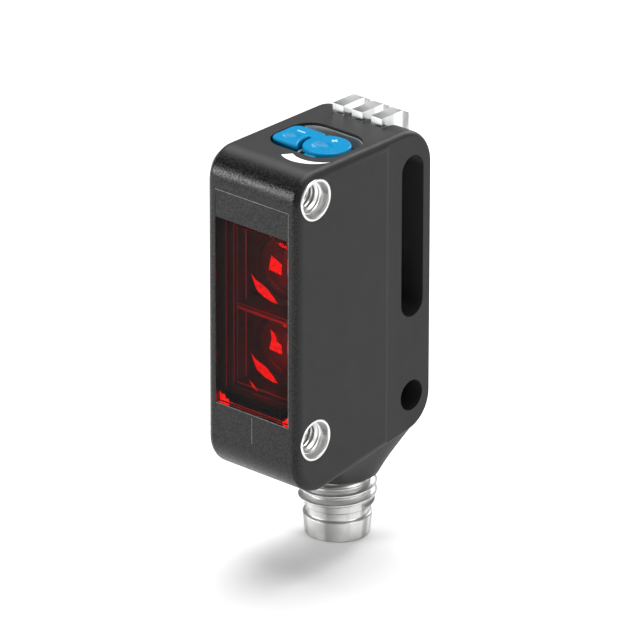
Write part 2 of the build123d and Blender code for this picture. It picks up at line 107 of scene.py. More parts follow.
housing_low, housing_high = places("housing")
window_low, window_high = places("front_window")
plug_low, plug_high = places("connector_shell")
key_top = places("rocker_key")[1].z
print("front face at", round(housing_low.y, 2), "and top face at", round(housing_high.z, 2))

# %% [markdown]
# ## Camera
#
# The sensor is seen from its front right, from a little above, with a long lens, which keeps its
# edges nearly parallel. The camera is turned about the middle of the whole object and stands eighty
# centimetres away.

# %% Camera
AZIMUTH = math.radians(41.68)
ELEVATION = math.radians(23.76)
ROLL = math.radians(0.11)
CAMERA_DISTANCE = 802.2 * MM
LENS = 459.5
RAISED = 1.38 * MM
CLIP_NEAR = 0.05
CLIP_FAR = 10


def outward(azimuth, elevation):
    """The direction out of the sensor at two angles, with the front at azimuth 0."""
    level = math.cos(elevation)
    return Vector((math.sin(azimuth) * level, -math.cos(azimuth) * level, math.sin(elevation)))


def camera_axes():
    """Right, up and back of the camera, from its angles."""
    back = outward(AZIMUTH, ELEVATION)
    right = Matrix.Rotation(ROLL, 3, back) @ Vector((math.cos(AZIMUTH), math.sin(AZIMUTH), 0))
    return right, back.cross(right), back


def add_camera():
    right, up, back = camera_axes()
    camera = bpy.data.objects.new("camera", bpy.data.cameras.new("camera"))
    bpy.context.scene.collection.objects.link(camera)
    camera.data.lens = LENS
    camera.data.clip_start = CLIP_NEAR
    camera.data.clip_end = CLIP_FAR
    aim = (cad_box[0] + cad_box[1]) / 2 + up * RAISED
    turn = Matrix((right, up, back)).transposed().to_4x4()
    camera.matrix_world = Matrix.Translation(aim + back * CAMERA_DISTANCE) @ turn
    bpy.context.scene.camera = camera
    return camera


camera = add_camera()
print("camera at", [round(value, 3) for value in camera.location])

# %% [markdown]
# ## Shader sums
#
# Finishes are easier to read as sums than as a web of nodes. A small class wraps the output of a
# node, so that adding, subtracting, multiplying or dividing two outputs makes the Math node that
# does it. A second class holds one material and has a single method for every other node.

# %% A node output that can be used in sums
class Wire:
    """The output of a node. Sums on it make Math nodes."""

    def __init__(self, finish, socket):
        self.finish = finish
        self.socket = socket

    def __add__(self, other):
        return self.finish.maths("ADD", self, other)

    def __sub__(self, other):
        return self.finish.maths("SUBTRACT", self, other)

    def __rsub__(self, other):
        return self.finish.maths("SUBTRACT", other, self)

    def __mul__(self, other):
        return self.finish.maths("MULTIPLY", self, other)

    def __truediv__(self, other):
        return self.finish.maths("DIVIDE", self, other)

    def __rtruediv__(self, other):
        return self.finish.maths("DIVIDE", other, self)

    __radd__ = __add__
    __rmul__ = __mul__


# %% One finish: a shader and the nodes that feed it
class Finish:
    """A material, with its Principled shader and the nodes behind it."""

    def __init__(self, name, settings):
        self.material = bpy.data.materials.new(name)
        self.material.use_nodes = True
        self.tree = self.material.node_tree
        self.shader = self.tree.nodes["Principled BSDF"]
        self.set(settings)

    def feed(self, socket, value):
        """Link a wire to a socket, or set the socket's own value."""
        if isinstance(value, Wire):
            self.tree.links.new(value.socket, socket)
        elif isinstance(value, tuple) and len(value) == 3 and socket.type == "RGBA":
            socket.default_value = (*value, 1)
        else:
            socket.default_value = value

    def set(self, settings):
        for name, value in settings.items():
            self.feed(self.shader.inputs[name], value)

    def node(self, kind, settings=None, inputs=None, output=0):
        """Make any node: its settings first, then its sockets, and give back one output."""
        made = self.tree.nodes.new(kind)
        for name, value in (settings or {}).items():
            setattr(made, name, value)
        for name, value in (inputs or {}).items():
            self.feed(made.inputs[name], value)
        return Wire(self, made.outputs[output])

    def maths(self, operation, first, second):
        return self.node("ShaderNodeMath", {"operation": operation}, {0: first, 1: second})

    def place(self, stretch=(1, 1, 1)):
        """Object coordinates, in metres, stretched along each axis."""
        where = self.node("ShaderNodeTexCoord", output="Object")
        return self.node("ShaderNodeMapping", {}, {"Vector": where, "Scale": stretch})

    def facing(self, axis):
        """How far the surface faces along an axis: 1 along it, -1 against it."""
        normal = self.node("ShaderNodeTexCoord", output="Normal")
        return self.node("ShaderNodeSeparateXYZ", {}, {"Vector": normal}, output=axis)

    def noise(self, grain, detail=2.0, stretch=(1, 1, 1)):
        """Noise with grains of this many millimetres."""
        inputs = {"Vector": self.place(stretch), "Scale": 1 / (grain * MM), "Detail": detail}
        return self.node("ShaderNodeTexNoise", {}, inputs)

    def step(self, value, low, high):
        """0 below one value and 1 above another, smooth between."""
        inputs = {"Value": value, "From Min": low, "From Max": high}
        return self.node("ShaderNodeMapRange", {"interpolation_type": "SMOOTHSTEP"}, inputs)

    def mix(self, factor, first, second):
        """A blend of two colours."""
        return self.node("ShaderNodeMix", {"data_type": "RGBA"}, {0: factor, 6: first, 7: second}, output=2)

    def bump(self, height, depth, strength=1.0):
        """Raise the surface by a height, up to this many millimetres."""
        inputs = {"Height": height, "Distance": depth * MM, "Strength": strength}
        self.set({"Normal": self.node("ShaderNodeBump", {}, inputs)})


print("sums and finishes are ready")

# %% [markdown]
# ## Moulded plastics
#
# The housing is a glass-filled plastic from a spark-eroded mould. Its sides are dull and even. The
# front was polished less evenly and shows a coarser, glossier grain, so one finish blends the two by
# the way that the surface faces. The front's darker colour is partly that grain and partly painted
# shade.

# %% Housing plastic
def housing_finish():
    finish = Finish("housing_plastic", {"Specular IOR Level": 0.24})
    depth = finish.node("ShaderNodeSeparateXYZ", {}, {"Vector": finish.place()}, output="Y")
    outside = finish.step(depth, 2 * MM, 1 * MM)
    front = finish.step(finish.facing("Y") * -1, 0.30, 0.90) * outside
    upward = finish.step(finish.facing("Z"), 0.30, 0.90)
    fine = finish.noise(0.05, 3)
    coarse = finish.noise(0.20, 4)
    cloud = finish.noise(2.2, 2)
    mottle = finish.step(coarse, 0.36, 0.66)
    tone = finish.mix(cloud, (0.019, 0.019, 0.020), (0.026, 0.026, 0.027))
    # Darker colour for the front: its coarse grain in speckles, and a painted shade over the whole front
    # face.
    darker = finish.mix(mottle, (0.001, 0.001, 0.001), (0.017, 0.017, 0.018))
    colour = finish.mix(front, tone, darker)
    rough = 0.50 + fine * 0.08 - front * 0.26 - upward * 0.14 + (coarse - 0.5) * front * 0.45
    finish.set({"Base Color": colour, "Roughness": rough})
    finish.bump(fine * 0.3 + coarse * front * 1.2 + coarse * upward * 0.4, 0.03, 0.6)
    return finish.material


housing_plastic = housing_finish()
print("made", housing_plastic.name)

# %% Plain moulded plastics
def moulded_finish(name, colour, rough, grain=0.08, depth=0.008):
    """A plain moulded plastic: a little uneven in tone and gloss, with a fine grain."""
    finish = Finish(name, {})
    fine = finish.noise(grain, 3)
    cloud = finish.noise(1.5, 2)
    darker = tuple(0.78 * part for part in colour)
    finish.set({"Base Color": finish.mix(cloud, darker, colour), "Roughness": rough + (fine - 0.5) * 0.15})
    finish.bump(fine, depth, 0.5)
    return finish.material


frame_plastic = moulded_finish("frame_plastic", (0.016, 0.016, 0.017), 0.42, 0.18, 0.05)
carrier_plastic = moulded_finish("carrier_plastic", (0.050, 0.045, 0.045), 0.38)
insert_plastic = moulded_finish("insert_plastic", (0.05, 0.05, 0.05), 0.45)
switch_plastic = moulded_finish("switch_plastic", (0.62, 0.62, 0.60), 0.4)
seal_rubber = moulded_finish("seal_rubber", (0.028, 0.028, 0.030), 0.8, 0.12, 0.02)
# Pale grey: painted light for the pocket's lit rear wall.
painted_wall_light = moulded_finish("painted_wall_light", (0.62, 0.62, 0.60), 0.5, 0.15, 0.02)
print("made six moulded finishes")

# %% [markdown]
# ## Clear parts
#
# The window is clear red plastic, dark because little light comes back out through it. It is real
# glass to the renderer: light goes in through it, meets the lenses and comes out tinted twice. The
# lenses are water clear. The indicator bars are clear plastic with a frosted skin, so they glow
# softly and show little of what is behind them.

# %% Window, lens and light guide
def clear_finish(name, colour, rough, index, frost=0.0):
    """A clear plastic, tinted by its colour and frosted by its roughness."""
    finish = Finish(name, {"Transmission Weight": 1.0, "IOR": index, "Base Color": colour})
    flow = finish.noise(1.2, 3, (1, 1, 0.3))
    speck = finish.noise(0.07, 3)
    finish.set({"Roughness": rough + flow * 0.02 + speck * frost})
    finish.bump(flow * 0.4 + speck * frost, 0.01, 0.3)
    return finish.material


window_red = clear_finish("window_red", (0.62, 0.035, 0.028), 0.015, 1.14)
lens_clear = clear_finish("lens_clear", (0.96, 0.92, 0.90), 0.02, 1.52)
guide_clear = clear_finish("guide_clear", (0.93, 0.94, 0.94), 0.30, 1.30, 0.18)
resin_clear = clear_finish("resin_clear", (0.90, 0.86, 0.72), 0.08, 1.5)
print("made four clear finishes")

# %% [markdown]
# ## Metals
#
# The sleeves and the plug are turned brass with bright nickel on it. Turning leaves fine rings
# round the axis, so the noise is stretched until it only changes along the axis. Broad darker and
# lighter streaks round the axis are painted reflections. The contacts are gold plated, and the key's
# pin is ground steel.

# %% Turned and plated metal
# The broad streaks on the metals are painted reflections; these set their stretch, offset and size.
STREAK_STRETCH = (1, 1, 0.15)
STREAK_START = (0.35, 0, 0)
STREAK_SCALE = 2.3


def turned_finish(name, colour, rough, stretch, painted_streak_depth=0.0):
    """A turned metal with fine rings; the stretch keeps only the axis that the rings follow.

    The last argument darkens broad streaks round the axis: painted reflections of the surroundings.
    """
    finish = Finish(name, {"Metallic": 1.0})
    rings = finish.noise(0.05, 2, stretch)
    worn = finish.noise(0.9, 4)
    # Painted reflection: broad darker and lighter streaks, from noise on the surface's direction.
    turn = finish.node("ShaderNodeTexCoord", output="Normal")
    around = {"Vector": turn, "Scale": STREAK_STRETCH, "Location": STREAK_START}
    level = finish.node("ShaderNodeMapping", {}, around)
    broad = finish.node("ShaderNodeTexNoise", {}, {"Vector": level, "Scale": STREAK_SCALE, "Detail": 0.5})
    streak = finish.step(broad, 0.40, 0.60)
    dull = tuple(0.80 * part for part in colour)
    grey = tuple((1 - painted_streak_depth) * part for part in colour)
    tone = finish.mix(streak, grey, finish.mix(worn, dull, colour))
    finish.set({"Base Color": tone, "Roughness": rough + rings * 0.12 + worn * 0.10})
    finish.bump(rings, 0.004, 0.35)
    return finish.material


ALONG_X = (1, 0.02, 0.02)
ALONG_Y = (0.02, 1, 0.02)
ALONG_Z = (0.02, 0.02, 1)
sleeve_metal = turned_finish("sleeve_metal", (0.90, 0.90, 0.89), 0.24, ALONG_X, 0.15)
plug_metal = turned_finish("plug_metal", (0.84, 0.84, 0.83), 0.24, ALONG_Z, 0.5)
contact_gold = turned_finish("contact_gold", (0.90, 0.66, 0.28), 0.15, ALONG_Z)
# The pin's steel is coloured very dark as painted shade, so it shows no glint in the key's slot.
pin_steel = turned_finish("pin_steel", (0.16, 0.16, 0.17), 0.35, ALONG_Y)
wire_copper = turned_finish("wire_copper", (0.75, 0.47, 0.32), 0.25, ALONG_Y)
print("made five metals")

# %% [markdown]
# ## Key, print and electronics
#
# The key is a glossy sky blue moulding with pale blue marks. The curved mark on the housing is white.
# A circuit board is green lacquer over copper tracks, so the tracks show as slightly raised, lighter
# lines, and a chip is black epoxy with a fine mineral speckle.

# %% Key and print
def key_finish():
    finish = Finish("key_blue", {"IOR": 1.42, "Coat Roughness": 0.08, "Specular IOR Level": 0.12})
    flow = finish.noise(0.8, 2)
    peel = finish.noise(0.25, 1)
    finish.set({"Base Color": finish.mix(flow, (0.0, 0.20, 0.42), (0.0, 0.25, 0.50)), "Coat Weight": 0.05})
    finish.set({"Roughness": 0.22 + peel * 0.08})
    finish.bump(peel, 0.01, 0.25)
    return finish.material


def print_finish(name, colour):
    """Thick ink: matte, with pinholes that are a little darker."""
    finish = Finish(name, {})
    pins = finish.step(finish.noise(0.06, 2), 0.28, 0.40)
    thin = tuple(0.82 * part for part in colour)
    finish.set({"Base Color": finish.mix(pins, thin, colour), "Roughness": 0.65 - pins * 0.12})
    finish.bump(pins, 0.006, 0.5)
    return finish.material


key_blue = key_finish()
white_print = print_finish("white_print", (0.93, 0.93, 0.93))
key_print = print_finish("key_print", (0.30, 0.62, 0.85))
print("made", key_blue.name, white_print.name, key_print.name)


# %% Boards, chips and ceramics
def board_finish():
    finish = Finish("board_lacquer", {"Coat Weight": 0.5, "Coat Roughness": 0.15})
    brick = {"Vector": finish.place(), "Scale": 1 / (1.1 * MM), "Mortar Size": 0.035, "Mortar Smooth": 0.3}
    gaps = finish.node("ShaderNodeTexBrick", {}, brick, output="Fac")
    weave = finish.noise(0.2, 2, (1, 1, 0.4))
    lacquer = finish.mix(weave, (0.010, 0.075, 0.030), (0.020, 0.120, 0.050))
    finish.set({"Base Color": finish.mix(gaps, lacquer, (0.06, 0.26, 0.10))})
    finish.set({"Roughness": 0.38 + weave * 0.1})
    finish.bump(gaps, 0.02, 0.6)
    return finish.material


def speckled_finish(name, colour, speck, rough):
    """A filled resin or a fired ceramic, with a mineral speckle."""
    finish = Finish(name, {})
    grains = finish.step(finish.noise(0.05, 4), 0.58, 0.70)
    finish.set({"Base Color": finish.mix(grains, colour, speck), "Roughness": rough - grains * 0.15})
    finish.bump(grains, 0.006, 0.4)
    return finish.material


board_lacquer = board_finish()
chip_epoxy = speckled_finish("chip_epoxy", (0.022, 0.022, 0.024), (0.09, 0.09, 0.09), 0.6)
ceramic = speckled_finish("ceramic", (0.50, 0.38, 0.24), (0.66, 0.55, 0.40), 0.5)
print("made", board_lacquer.name, chip_epoxy.name, ceramic.name)

# %% [markdown]
# ## Working by hand, in code
#
# Every tool below acts on what is selected, and the frame comes in selected. So each step first
# deselects everything, and then picks its own object, or its own points by their place.

# %% Helpers for objects and selection
def only(piece):
    """Select one object and make it active."""
    if bpy.context.object and bpy.context.object.mode != "OBJECT":
        bpy.ops.object.mode_set(mode="OBJECT")
    bpy.ops.object.select_all(action="DESELECT")
    piece.select_set(True)
    bpy.context.view_layer.objects.active = piece


def editing(piece):
    """Go into edit mode on one object, with all of it selected."""
    only(piece)
    bpy.ops.object.mode_set(mode="EDIT")
    bpy.ops.mesh.select_all(action="SELECT")


def finished_editing():
    bpy.ops.object.mode_set(mode="OBJECT")


def settle(piece):
    """Put the object's place, turn and size into its mesh."""
    only(piece)
    bpy.ops.object.transform_apply(location=True, rotation=True, scale=True)


def modifier(piece, kind, **settings):
    """Add a modifier, set it and apply it."""
    only(piece)
    made = piece.modifiers.new(kind.lower(), kind)
    for name, value in settings.items():
        setattr(made, name, value)
    bpy.ops.object.modifier_apply(modifier=made.name)


def wear(piece, finish, sharp=35):
    """Give a piece its finish and smooth its shading up to an angle."""
    piece.data.materials.clear()
    piece.data.materials.append(finish)
    only(piece)
    bpy.ops.object.shade_smooth_by_angle(angle=math.radians(sharp))


print("helpers are ready")

# %% [markdown]
# ## A softened copy of a node
#
# The engineering solids have perfectly sharp corners, and no moulded or turned corner is: it is the
# thin bright line along a rounded corner that makes an edge look real. A copy of the node has its
# loose triangles merged and its flat faces joined, and then its corners are rounded.

# %% Softened copies
MERGE = 0.0005 * MM
FLAT = math.radians(0.4)


def softened(node, name, radius, segments, sharp, finish, body=BODY):
    """A copy of a CAD node with small rounded corners, which stands for the node."""
    piece = nodes[node].copy()
    piece.data = nodes[node].data.copy()
    piece.name = name
    piece.data.name = name
    piece.parent = None
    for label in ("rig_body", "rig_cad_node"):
        del piece[label]
    bpy.context.scene.collection.objects.link(piece)
    editing(piece)
    bpy.ops.mesh.remove_doubles(threshold=MERGE)
    bpy.ops.mesh.dissolve_limited(angle_limit=FLAT)
    finished_editing()
    if piece.data.has_custom_normals:
        bpy.ops.mesh.customdata_custom_splitnormals_clear()
    if radius:
        rounding = {"width": radius * MM, "segments": segments}
        modifier(piece, "BEVEL", **rounding, limit_method="ANGLE", angle_limit=math.radians(sharp))
    wear(piece, finish, sharp)
    modifier(piece, "WEIGHTED_NORMAL", keep_sharp=True, weight=100)
    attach(piece, body)
    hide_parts(node)
    print(name, "has", len(piece.data.polygons), "faces")
    return piece


softened("housing", "housing_shell", 0.05, 2, 32, housing_plastic)

# %% [markdown]
# ## Turning and threading
#
# A turned part is a profile spun round an axis. The profile starts as a circle with as many points
# as the profile has corners; the points are moved to their places and the loop is spun. A thread is
# the same idea with a climb: the Screw modifier spins a small tooth and lifts it one pitch a turn.
# The tooth fades out at both ends, as it does where a real cutter enters and leaves.

# %% Spin a closed profile
def loop(name, corners):
    """A closed loop of points at (radius, height) corners, in millimetres."""
    bpy.ops.object.select_all(action="DESELECT")
    bpy.ops.mesh.primitive_circle_add(vertices=len(corners), radius=MM)
    piece = bpy.context.object
    piece.name = name
    for point, (radius, height) in zip(piece.data.vertices, corners):
        point.co = (radius * MM, 0, height * MM)
    return piece


def spun(name, corners, steps=96):
    """A solid of revolution about Z, from (radius, height) corners."""
    piece = loop(name, corners)
    editing(piece)
    bpy.ops.mesh.spin(steps=steps, angle=math.tau, center=(0, 0, 0), axis=(0, 0, 1))
    bpy.ops.mesh.select_all(action="SELECT")
    bpy.ops.mesh.remove_doubles(threshold=MERGE)
    bpy.ops.mesh.normals_make_consistent(inside=False)
    finished_editing()
    return piece


# %% Cut a thread
TOOTH_SUNK = 0.12
TOOTH_SHOULDER = 0.82
FADE_START = 0.15
FADE_RATE = 0.9


def thread(name, root, crest, pitch, start, end, steps, inward=False):
    """A helical ridge between two heights; inward ridges stand in towards the axis."""
    side = -1 if inward else 1
    foot = root - side * TOOTH_SUNK
    shoulder = root + (crest - root) * TOOTH_SHOULDER
    tooth = [
        (foot, 0.04 * pitch),
        (root, 0.06 * pitch),
        (shoulder, 0.36 * pitch),
        (crest, 0.44 * pitch),
        (crest, 0.56 * pitch),
        (shoulder, 0.64 * pitch),
        (root, 0.94 * pitch),
        (foot, 0.96 * pitch),
    ]
    piece = loop(name, tooth)
    turns = round((end - start) / pitch) - 1
    climb = {"screw_offset": pitch * MM, "iterations": turns}
    modifier(piece, "SCREW", axis="Z", **climb, steps=steps, render_steps=steps)
    editing(piece)
    bpy.ops.mesh.fill_holes(sides=0)
    bpy.ops.mesh.select_all(action="SELECT")
    bpy.ops.mesh.normals_make_consistent(inside=False)
    finished_editing()
    low = min(point.co.z for point in piece.data.vertices)
    high = max(point.co.z for point in piece.data.vertices)
    for point in piece.data.vertices:
        reach = min(point.co.z - low, high - point.co.z) / (pitch * MM)
        fade = min(1, FADE_START + reach * FADE_RATE)
        radius = math.hypot(point.co.x, point.co.y)
        wanted = root * MM + (radius - root * MM) * fade
        if (radius - root * MM) * side > 0:
            point.co.x *= wanted / radius
            point.co.y *= wanted / radius
        point.co.z += start * MM - low
    return piece


print("turning and threading are ready")

# %% [markdown]
# ## Mounting sleeves
#
# Each sleeve is a nickel plated bush through the whole width. Its end is a narrow bright rim round a
# smooth bowl, and an M3 thread starts at the bottom of the bowl. It is turned about Z first, and
# then laid along X and moved to its place.

# %% Turn one sleeve and copy it
RIM = 2.15
BOWL = 1.86
BOWL_DEPTH = 1.0
THREAD_MAJOR = 1.52
THREAD_MINOR = 1.25
THREAD_PITCH = 0.5
THREAD_REACH = 0.8
THREAD_STEPS = 40
EDGE = 0.06
BOWL_STEPS = 7
BOWL_FULLNESS = 0.7


def bowl_side(direction, length):
    """The mouth of a sleeve: a rim with soft edges, and a round bowl down to the thread."""
    half = length / 2
    corners = [(RIM, half - EDGE), (RIM - EDGE * 0.4, half - EDGE * 0.4), (RIM - EDGE, half)]
    corners += [(BOWL + EDGE, half), (BOWL + EDGE * 0.4, half - EDGE * 0.3)]
    for turn in range(BOWL_STEPS + 1):
        angle = math.pi / 2 * turn / BOWL_STEPS
        radius = THREAD_MAJOR + (BOWL - THREAD_MAJOR) * math.cos(angle) ** BOWL_FULLNESS
        corners.append((radius, half - EDGE - (BOWL_DEPTH - EDGE) * math.sin(angle)))
    if direction < 0:
        corners = [(radius, -height) for radius, height in reversed(corners)]
    return corners


def turned_sleeve(name, node):
    low, high = places(node)
    length = high.x - low.x
    body = spun(name, bowl_side(1, length) + bowl_side(-1, length))
    inside = length / 2 - BOWL_DEPTH * THREAD_REACH
    sizes = (THREAD_MAJOR, THREAD_MINOR, THREAD_PITCH)
    ridge = thread(name + "_thread", *sizes, -inside, inside, THREAD_STEPS, inward=True)
    only(body)
    ridge.select_set(True)
    bpy.ops.object.join()
    body.rotation_euler = (0, math.pi / 2, 0)
    body.location = (low + high) / 2 * MM
    settle(body)
    wear(body, sleeve_metal, 40)
    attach(body, BODY)
    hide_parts(node)
    print(name, "has", len(body.data.polygons), "faces")


turned_sleeve("upper_bush", "sleeve_upper")
turned_sleeve("lower_bush", "sleeve_lower")

# %% [markdown]
# ## Plug
#
# The plug is one turned shell: an M8 thread with a pitch of one millimetre, a plain groove, and a
# collar that tapers to an open end. The insert and its four gold contacts sit inside.

# %% Turn and thread the plug
PLUG_THREAD = 3.8
PLUG_GROOVE = 0.8
PLUG_MAJOR = 3.93
PLUG_ROOT = 3.38
PLUG_NECK = 3.15
PLUG_PITCH = 1.0
PLUG_BORE = 2.76
PLUG_SHOULDER = 3.48
PLUG_LIP = 3.28
PLUG_BREAK = 0.10
PLUG_STEPS = 128
PLUG_THREAD_STEPS = 96
PLUG_ROUNDING = 0.03
FLANGE_IN = 0.25
FLANGE_DEPTH = 0.12
FLANGE_SLOPE = 0.30
GROOVE_SLOPE = 0.15
NECK_ROUNDING = 0.08
MOUTH_BREAK = 0.12
ROOT_IN_FOOT = 3.4


def plug_profile():
    """The plug's outline from its root, down the outside and back up to its bore."""
    top = plug_high.z
    foot = top - ROOT_IN_FOOT
    groove = foot - PLUG_THREAD
    collar = groove - PLUG_GROOVE
    end = plug_low.z
    flange = (plug_high.x - plug_low.x) / 2 - FLANGE_IN
    return [
        (PLUG_BORE, top),
        (PLUG_ROOT, top),
        (PLUG_ROOT, foot),
        (flange, foot),
        (flange, foot - FLANGE_DEPTH),
        (PLUG_ROOT, foot - FLANGE_SLOPE),
        (PLUG_ROOT, groove + GROOVE_SLOPE),
        (PLUG_NECK, groove),
        (PLUG_NECK, collar + PLUG_BREAK),
        (PLUG_NECK + NECK_ROUNDING, collar),
        (PLUG_SHOULDER - PLUG_BREAK, collar),
        (PLUG_SHOULDER, collar - PLUG_BREAK),
        (PLUG_LIP, end + PLUG_BREAK),
        (PLUG_LIP - PLUG_BREAK, end),
        (PLUG_BORE + MOUTH_BREAK, end),
        (PLUG_BORE, end + MOUTH_BREAK),
    ]


def plug():
    body = spun("plug_shell", plug_profile(), PLUG_STEPS)
    rounding = {"width": PLUG_ROUNDING * MM, "segments": 2}
    modifier(body, "BEVEL", **rounding, limit_method="ANGLE", angle_limit=math.radians(30))
    start = plug_high.z - ROOT_IN_FOOT - PLUG_BREAK
    sizes = (PLUG_ROOT, PLUG_MAJOR, PLUG_PITCH)
    ridge = thread("plug_thread", *sizes, start - PLUG_THREAD, start, PLUG_THREAD_STEPS)
    only(body)
    ridge.select_set(True)
    bpy.ops.object.join()
    middle = (plug_low + plug_high) / 2 * MM
    body.location = (middle.x, middle.y, 0)
    settle(body)
    wear(body, plug_metal, 40)
    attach(body, BODY)
    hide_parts("connector_shell")
    print("plug has", len(body.data.polygons), "faces")


plug()

# %% [markdown]
# ## Window and its frame
#
# The window fills the front from side to side. It is drawn in by two hundredths of a millimetre, so
# that a fine seam stays between it and the housing, and so is the plain strip over it.

# %% Window and strip
SEAM = 0.02


def drawn_in(piece, amount):
    """Shrink a piece in the plane of the front, by this many millimetres on each side."""
    corners = [Vector(corner) for corner in piece.bound_box]
    middle = (corners[0] + corners[6]) / 2
    size = corners[6] - corners[0]
    shrink = Vector((1 - 2 * amount * MM / size.x, 1, 1 - 2 * amount * MM / size.z))
    for point in piece.data.vertices:
        offset = point.co - middle
        point.co = middle + Vector((offset.x * shrink.x, offset.y, offset.z * shrink.z))


window = softened("front_window", "red_window", 0.08, 3, 35, window_red)
drawn_in(window, SEAM)
strip = softened("window_frame", "window_surround", 0.05, 2, 35, housing_plastic)
drawn_in(strip, SEAM)

# %% [markdown]
# ## Optics behind the window
#
# The two lenses look out through the window, one sends and one receives. Their rims and the block
# that holds them show bright red glints through the red window, painted light made below as
# glowing sheets.

# %% Lenses
softened("emitter_lens", "emitter_optic", 0.0, 2, 35, lens_clear)
softened("receiver_lens", "receiver_optic", 0.0, 2, 35, lens_clear)
softened("optics_carrier", "lens_carrier", 0.05, 2, 35, carrier_plastic)

# %% [markdown]
# ## Painted glints behind the window
#
# A crescent of painted glint stands for the light that the ground rim of each lens throws back on
# one side, and a painted reflection of the sender's chip sits near the middle of each lens as a bright
# patch. Two corners of the window and the foot of the lens carrier get painted glints in the same
# way. Each is a thin sheet that shines red.

# %% Crescents and patches
def painted_glow_finish(name, strength):
    """A painted glint: a sheet that shines red, unevenly."""
    finish = Finish(name, {"Base Color": (0.5, 0.01, 0.01), "Roughness": 0.5})
    ripple = finish.step(finish.noise(0.4, 3), 0.30, 0.60)
    finish.set({"Emission Strength": strength})
    finish.set({"Emission Color": finish.mix(ripple, (0.42, 0.008, 0.004), (0.95, 0.022, 0.010))})
    return finish.material


# Painted light: a bright glow for the crescents and patches, a faint one for the carrier's edges.
painted_glint_light = painted_glow_finish("painted_glint_light", 1.45)
painted_edge_glint = painted_glow_finish("painted_edge_glint", 0.11)
SHEET = 0.04
RIM_AHEAD = 0.12
PATCH_AHEAD = 0.08
CORNER_BEHIND = 0.3
CARRIER_BEHIND = 1.2


def sheet(name, corners, depth, finish=painted_glint_light):
    """A thin sheet that faces the front, from (x, z) corners in millimetres."""
    bpy.ops.object.select_all(action="DESELECT")
    bpy.ops.mesh.primitive_circle_add(vertices=len(corners), radius=MM)
    piece = bpy.context.object
    piece.name = name
    for point, (x, z) in zip(piece.data.vertices, corners):
        point.co = (x * MM, depth * MM, z * MM)
    editing(piece)
    bpy.ops.mesh.fill()
    bpy.ops.mesh.select_all(action="SELECT")
    bpy.ops.mesh.extrude_region_move(TRANSFORM_OT_translate={"value": (0, SHEET * MM, 0)})
    bpy.ops.mesh.select_all(action="SELECT")
    bpy.ops.mesh.normals_make_consistent(inside=False)
    finished_editing()
    piece.data.materials.append(finish)
    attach(piece, BODY)


def moved(corners, across, level):
    """Corners carried to a place on the front."""
    return [(across + x, level + z) for x, z in corners]


RIM_ABOVE = [(-3.35, -1.25), (-2.80, -1.75), (-1.70, -2.05), (-1.15, -2.35), (-0.40, -2.95), (0.10, -3.45)]
RIM_BELOW = [(-0.50, -3.50), (-1.60, -3.25), (-2.55, -2.80), (-3.00, -2.15)]
UPPER_PATCH = [(-1.10, -0.15), (-0.40, -0.20), (0.55, -0.30), (0.60, 0.85), (-0.30, 1.20), (-0.75, 1.45)]
LOWER_PATCH = [
    (-1.05, -0.10), (0.60, -0.20), (0.55, 0.75), (0.00, 0.95), (-0.30, 1.70), (-0.85, 2.00), (-0.70, 1.10)
]
for side, node, patch in (("upper", "emitter_lens", UPPER_PATCH), ("lower", "receiver_lens", LOWER_PATCH)):
    low, high = places(node)
    across, level = (low.x + high.x) / 2, (low.z + high.z) / 2
    sheet(f"{side}_rim_light", moved(RIM_ABOVE + RIM_BELOW, across, level), low.y - RIM_AHEAD)
    sheet(f"{side}_patch_light", moved(patch, across, level), low.y - PATCH_AHEAD)

LEFT_CORNER = [
    (0.05, 0.10), (1.30, 0.10), (1.20, 0.45), (0.85, 0.40), (0.65, 0.85), (0.30, 0.70), (0.05, 1.00)
]
RIGHT_CORNER = [(-1.30, 0.10), (-0.05, 0.10), (-0.05, 0.85), (-0.45, 0.60), (-0.70, 0.65), (-0.95, 0.30)]
SLIVER = [(-2.15, 2.45), (-1.55, 2.10), (-1.05, 1.55), (-1.60, 1.85)]
corner_depth = window_high.y - CORNER_BEHIND
sheet("corner_light_left", moved(LEFT_CORNER, window_low.x, window_low.z), corner_depth)
sheet("corner_light_right", moved(RIGHT_CORNER, window_high.x, window_low.z), corner_depth)
sheet("carrier_light", moved(SLIVER, 0, window_low.z), window_high.y + CARRIER_BEHIND)
print("seven bright sheets behind the window")


# %% Painted glints on the edges of the carrier
def line_of_light(name, start, end, depth, width):
    """A faint glowing line between two (x, z) points: a painted glint along an edge."""
    along = Vector((end[0] - start[0], end[1] - start[1])).normalized()
    across = Vector((-along.y, along.x)) * width / 2
    corners = [Vector(start) + across, Vector(end) + across, Vector(end) - across, Vector(start) - across]
    sheet(name, [tuple(corner) for corner in corners], depth, painted_edge_glint)


def upright(name, x, shorter, depth, width):
    """A line up the carrier, shorter than it at both ends."""
    line_of_light(name, (x, edge_low + shorter), (x, edge_high - shorter), depth, width)


def level_line(name, left, right, z, depth, width):
    """A line across the front at one height."""
    line_of_light(name, (left, z), (right, z), depth, width)


